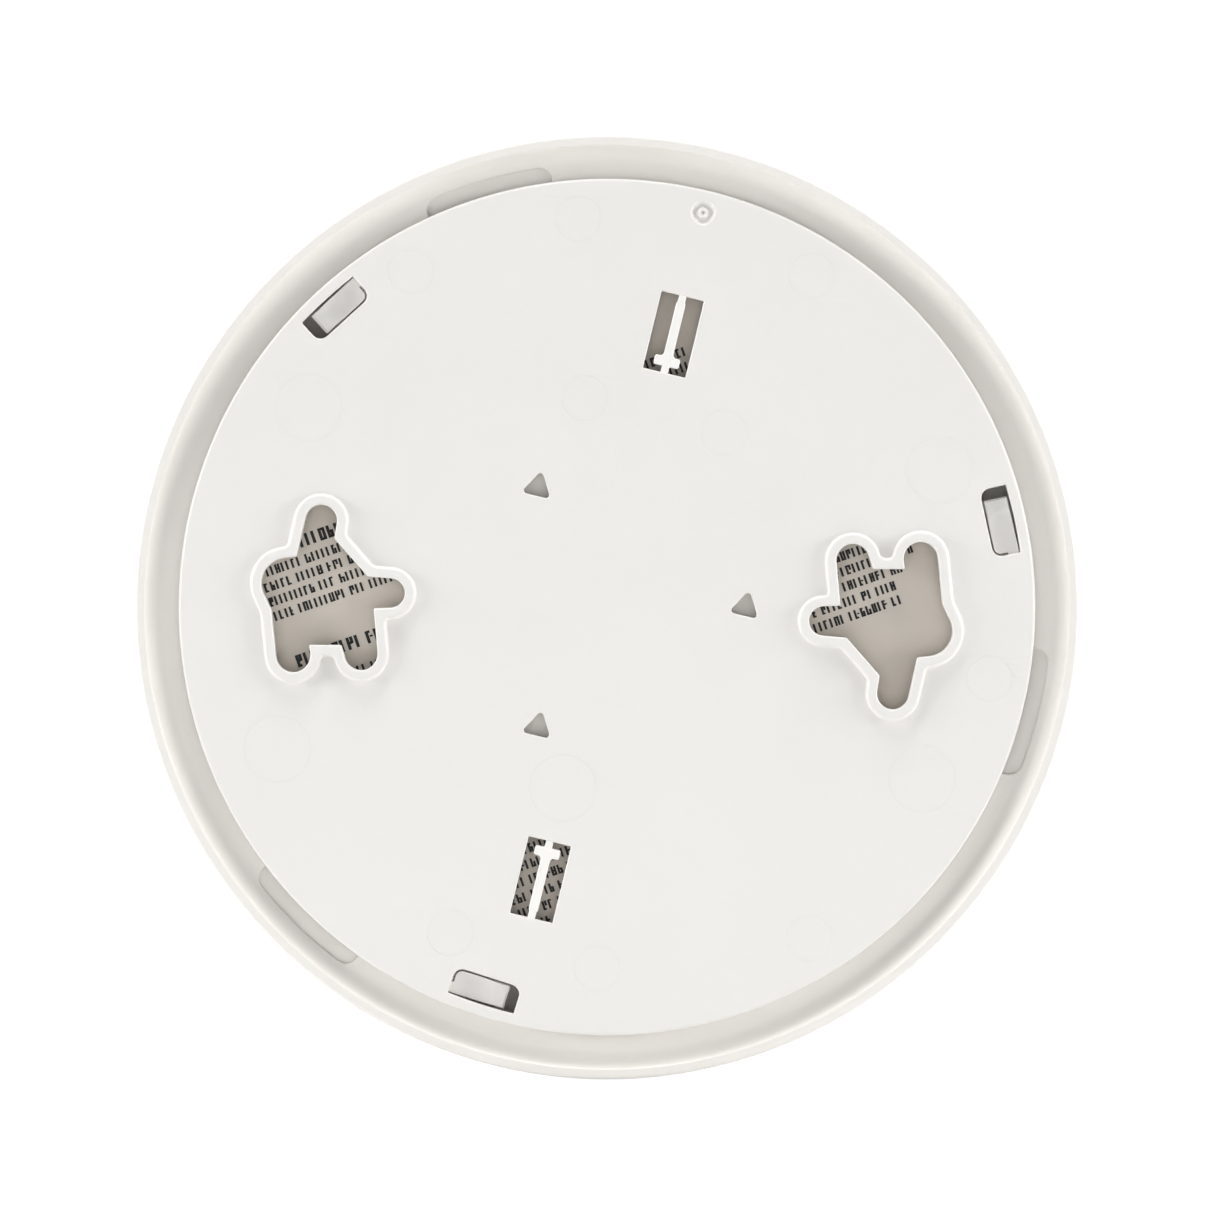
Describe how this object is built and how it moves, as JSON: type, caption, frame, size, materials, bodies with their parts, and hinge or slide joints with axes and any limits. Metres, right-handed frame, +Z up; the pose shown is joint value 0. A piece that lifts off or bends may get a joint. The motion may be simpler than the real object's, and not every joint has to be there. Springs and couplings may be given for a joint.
{
  "type": "smoke detector",
  "caption": "Round household smoke alarm locked on its twist-lock wall and ceiling bracket, with test button, vent ring, sounder and internal parts.",
  "frame": {"origin": "middle of the mounting bracket's flat back face, on the axis that the alarm twists about", "axes": "+Y out of the back, towards the wall; +Z up the wall; the front with the test button faces -Y"},
  "size_m": [0.1422, 0.0438, 0.1422],
  "materials": {
    "shell_plastic": "warm white moulded ABS, fine satin grain",
    "bracket_plastic": "off-white moulded ABS, smooth with faint ejector-pin rings",
    "button_plastic": "warm white moulded ABS, smooth",
    "label_paper": "grey-beige printed polyester sheet, meaningless stroke marks in place of print",
    "board_laminate": "green solder mask over glass-epoxy laminate",
    "black_plastic": "matt black moulded plastic",
    "steel_mesh": "fine woven stainless mesh",
    "clear_resin": "water-clear resin",
    "smoked_resin": "dark infrared-pass resin",
    "smoked_resin_red": "tinted diffusing resin",
    "brass_sheet": "rolled brass sheet",
    "piezo_ceramic_white": "silvered fired ceramic, treated as a matt solid",
    "spring_steel": "nickel-plated strip",
    "screw_steel": "zinc-plated steel",
    "cell_wrap": "heat-shrink sleeve, plain, no print",
    "wire_red": "PVC insulation",
    "wire_black": "PVC insulation",
    "chip_epoxy": "moulded epoxy",
    "coil_ferrite": "ferrite bobbin in black tape",
    "capacitor_sleeve": "dark PVC sleeve",
    "plunger_plastic": "natural nylon",
    "slider_plastic": "red acetal"
  },
  "bodies": {
    "bracket": {"mounting_bracket": "bracket_plastic", "locking_pin_upper": "bracket_plastic", "locking_pin_lower": "bracket_plastic"},
    "alarm_head": {"rear_housing": "shell_plastic", "front_cover": "shell_plastic", "rating_label": "label_paper", "circuit_board": "board_laminate", "optical_chamber_base": "black_plastic", "optical_chamber_cap": "black_plastic", "insect_screen": "steel_mesh", "infrared_emitter": "clear_resin", "photodiode": "smoked_resin", "horn_resonator": "shell_plastic", "horn_retainer_ring": "black_plastic", "piezo_disc": "brass_sheet", "piezo_ceramic": "piezo_ceramic_white", "horn_contact_1": "spring_steel", "horn_contact_2": "spring_steel", "horn_contact_3": "spring_steel", "battery_cell": "cell_wrap", "battery_tab_positive": "spring_steel", "battery_tab_negative": "spring_steel", "battery_wire_red": "wire_red", "battery_wire_black": "wire_black", "microcontroller": "chip_epoxy", "horn_transformer": "coil_ferrite", "capacitor": "capacitor_sleeve", "status_led": "smoked_resin_red", "light_pipe": "clear_resin", "tactile_switch_body": "black_plastic", "case_screw_1": "screw_steel", "case_screw_2": "screw_steel", "case_screw_3": "screw_steel", "board_screw_1": "screw_steel", "board_screw_2": "screw_steel", "board_screw_3": "screw_steel"},
    "button": {"test_button": "button_plastic"},
    "plunger": {"switch_plunger": "plunger_plastic"},
    "power_slider": {"activation_slider": "slider_plastic", "slider_contact": "brass_sheet"}
  },
  "joints": [
    {"name": "head_twist", "type": "hinge", "parent": "bracket", "child": "alarm_head", "pos_m": [0, 0, 0], "axis": [0, 1, 0], "range_deg": [0, 26.4]},
    {"name": "power_slider_carry", "type": "hinge", "parent": "alarm_head", "child": "power_slider", "pos_m": [0, 0, 0], "axis": [0, 1, 0], "range_deg": [-26.4, 0]},
    {"name": "test_button_press", "type": "slide", "parent": "alarm_head", "child": "button", "axis": [0, 1, 0], "range_m": [0, 0.0008]},
    {"name": "switch_plunger_travel", "type": "slide", "parent": "alarm_head", "child": "plunger", "axis": [0, 1, 0], "range_m": [0, 0.0008]}
  ],
  "couplings": [
    {"joint": "power_slider_carry", "follows": "head_twist", "ratio": -1},
    {"joint": "switch_plunger_travel", "follows": "test_button_press", "ratio": 1}
  ]
}
